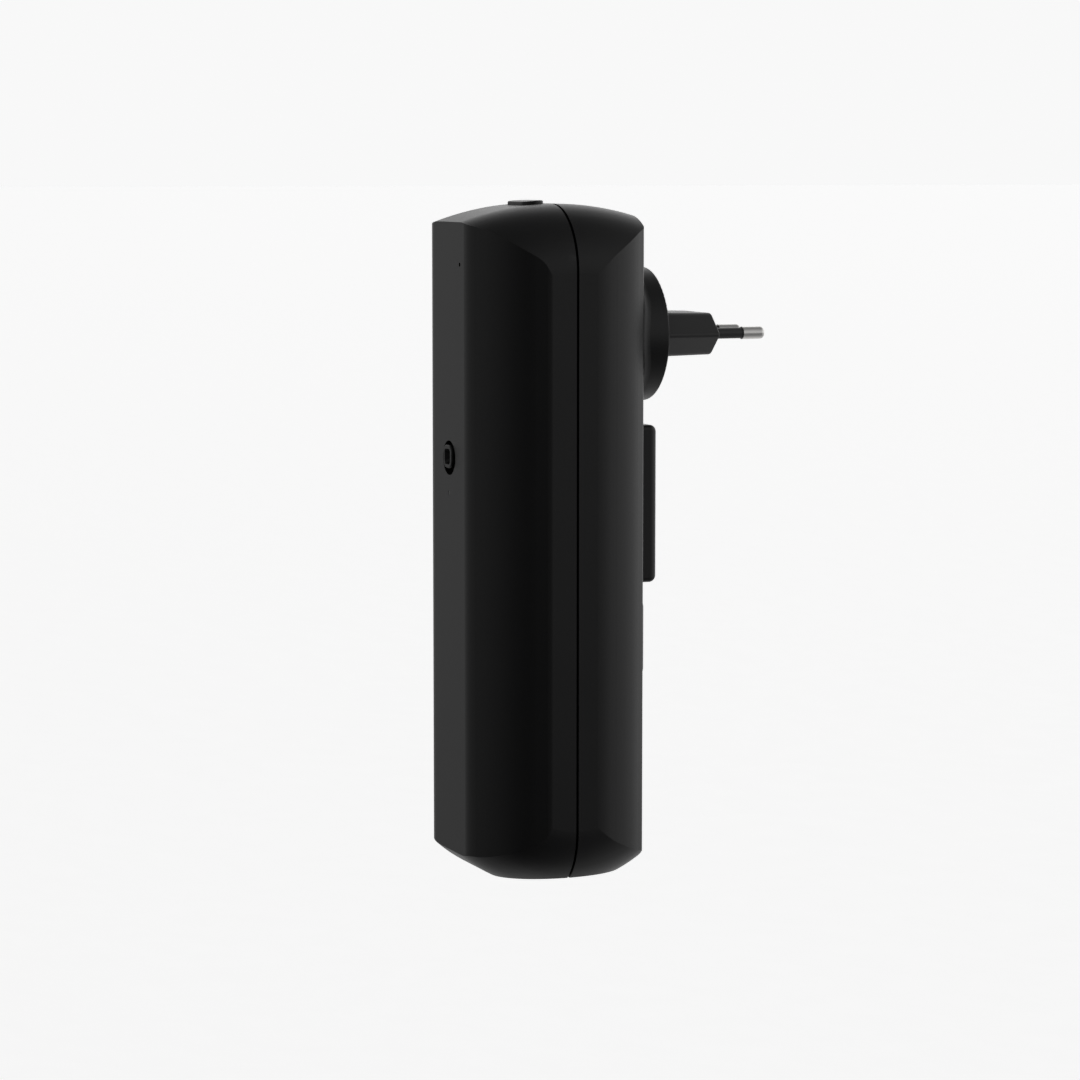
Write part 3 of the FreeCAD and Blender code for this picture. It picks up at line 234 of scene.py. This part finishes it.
def dress_cad_nodes():
    """Give every CAD node the finish of its material slot."""
    made = {slot: textured(slot, **settings) for slot, settings in FINISHES.items()}
    made["lens_glass"] = lens_glass("lens_glass")
    made["board"] = circuit_board("board")
    for entry in frame["record"]["subparts"]:
        mesh = frame["nodes"][entry["node"]].data
        mesh.materials.clear()
        mesh.materials.append(made[entry["material_slot"]])


def add_return_spring():
    """Return spring of the button, a copy of the CAD spring attached to the housing."""
    node = frame["nodes"]["button_spring"]
    spring = bpy.data.objects.new("return_spring", node.data.copy())
    bpy.context.scene.collection.objects.link(spring)
    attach(spring, "housing")
    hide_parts("button_spring")
    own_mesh(spring)


def add_floor():
    """Pale floor that runs into the background without a visible edge and lights nothing."""
    low, _ = CAD_BOX
    mesh = bpy.data.meshes.new("floor")
    half = FLOOR_HALF_SIZE
    height = low.z - FLOOR_DROP
    corners = [(-half, -half, height), (half, -half, height), (half, half, height), (-half, half, height)]
    mesh.from_pydata(corners, [], [(0, 1, 2, 3)])
    floor = bpy.data.objects.new("floor", mesh)
    bpy.context.scene.collection.objects.link(floor)
    paint = textured("floor", (0.80, 0.80, 0.80), (0.82, 0.82, 0.82), (0.8, 0.9), 30.0, 0.0005)
    shader = paint.node_tree.nodes["Principled BSDF"]
    shader.inputs["Emission Color"].default_value = (1.0, 1.0, 1.0, 1.0)
    shader.inputs["Emission Strength"].default_value = FLOOR_GLOW
    floor.data.materials.append(paint)
    floor.visible_diffuse = False
    floor.visible_glossy = False


def compass_levels(nodes, links, direction, levels):
    """Brightness of the surroundings by compass angle, blended smoothly from step to step."""
    turn = nodes.new("ShaderNodeTexGradient")
    turn.gradient_type = "RADIAL"
    links.new(direction, turn.inputs["Vector"])
    ramp = nodes.new("ShaderNodeValToRGB")
    ramp.color_ramp.interpolation = "EASE"
    marks = ramp.color_ramp.elements
    while len(marks) < len(levels):
        marks.new(0.5)
    for mark, (angle, level) in zip(marks, levels):
        mark.position = (angle + 180) / 360
        mark.color = (level, level, level, 1.0)
    links.new(turn.outputs["Fac"], ramp.inputs["Fac"])
    return ramp.outputs["Color"]


def blend(nodes, links, factor, first, second):
    """First where factor is 0, second where it is 1; second is a colour output or one grey level."""
    mix = nodes.new("ShaderNodeMix")
    mix.data_type = "RGBA"
    links.new(factor, mix.inputs["Factor"])
    links.new(first, mix.inputs["A"])
    if isinstance(second, float):
        mix.inputs["B"].default_value = (second, second, second, 1.0)
    else:
        links.new(second, mix.inputs["B"])
    return mix.outputs["Result"]


def smooth_step(nodes, links, source, start, end):
    """Smooth step from 0 at start to 1 at end."""
    step = nodes.new("ShaderNodeMapRange")
    step.interpolation_type = "SMOOTHSTEP"
    step.inputs["From Min"].default_value = start
    step.inputs["From Max"].default_value = end
    links.new(source, step.inputs["Value"])
    return step.outputs["Result"]


def light_studio():
    """Soft surroundings with a dark side, an even ceiling and a plain background to the camera."""
    world = bpy.data.worlds.new("studio")
    bpy.context.scene.world = world
    world.use_nodes = True
    nodes = world.node_tree.nodes
    links = world.node_tree.links
    soft = nodes["Background"]
    coordinates = nodes.new("ShaderNodeTexCoord")
    direction = coordinates.outputs["Generated"]
    height = nodes.new("ShaderNodeSeparateXYZ")
    links.new(direction, height.inputs["Vector"])
    level = compass_levels(nodes, links, direction, SURROUNDINGS)
    low = compass_levels(nodes, links, direction, LOW_SURROUNDINGS)
    levelness = smooth_step(nodes, links, height.outputs["Z"], LOW_BELOW, LEVEL_ABOVE)
    around = blend(nodes, links, levelness, low, level)
    upward = smooth_step(nodes, links, height.outputs["Z"], OVERHEAD_START, OVERHEAD_FULL)
    above = blend(nodes, links, upward, around, OVERHEAD)
    links.new(above, soft.inputs["Color"])
    soft.inputs["Strength"].default_value = LEVEL_STRENGTH
    plain = nodes.new("ShaderNodeBackground")
    plain.inputs["Color"].default_value = (1.0, 1.0, 1.0, 1.0)
    plain.inputs["Strength"].default_value = BACKGROUND
    path = nodes.new("ShaderNodeLightPath")
    mix = nodes.new("ShaderNodeMixShader")
    links.new(path.outputs["Is Camera Ray"], mix.inputs["Fac"])
    links.new(soft.outputs["Background"], mix.inputs[1])
    links.new(plain.outputs["Background"], mix.inputs[2])
    links.new(mix.outputs["Shader"], nodes["World Output"].inputs["Surface"])


def add_camera():
    """Camera at the photograph's viewing angle."""
    data = bpy.data.cameras.new("camera")
    data.lens = CAMERA_LENS_MM
    data.sensor_width = CAMERA_SENSOR_MM
    data.clip_start = 0.01
    data.clip_end = 500.0
    camera = bpy.data.objects.new("camera", data)
    bpy.context.scene.collection.objects.link(camera)
    level = math.cos(CAMERA_PITCH)
    forward = Vector((math.cos(CAMERA_YAW) * level, math.sin(CAMERA_YAW) * level, math.sin(CAMERA_PITCH)))
    camera.location = CAMERA_PLACE
    camera.rotation_euler = forward.to_track_quat("-Z", "Y").to_euler()
    bpy.context.scene.camera = camera


dress_cad_nodes()
add_return_spring()
add_floor()
light_studio()
add_camera()
bpy.context.scene.view_settings.view_transform = "Standard"
